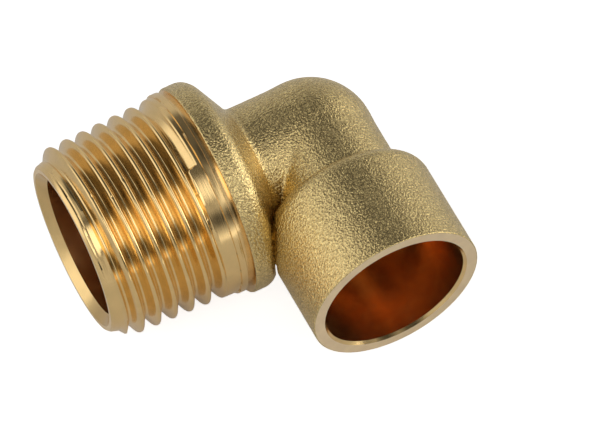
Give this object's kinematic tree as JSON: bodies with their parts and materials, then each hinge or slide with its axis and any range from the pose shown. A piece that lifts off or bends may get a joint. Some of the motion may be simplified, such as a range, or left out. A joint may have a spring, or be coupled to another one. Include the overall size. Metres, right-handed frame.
{
  "type": "pipe elbow",
  "caption": "Right-angle brass pipe elbow with a male taper pipe thread at one end, a stepped cast collar behind it, and a plain solder socket for copper tube at the other end.",
  "frame": {"origin": "centre of the solder socket's mouth, in the plane of its end face; the two machined axes cross 19.9 mm behind it", "axes": "+Y out of the solder socket along its axis, +X the way the threaded end points, +Z square to both, so the elbow lies flat as it would on a bench"},
  "size_m": [0.0352, 0.0309, 0.0224],
  "materials": {
    "machined_brass": "turned, bright",
    "cast_brass": "sand cast, shot blasted"
  },
  "bodies": {
    "root": {"threaded_spigot": "machined_brass", "collar": "cast_brass", "elbow_bend": "cast_brass", "solder_socket": "cast_brass"}
  },
  "joints": []
}
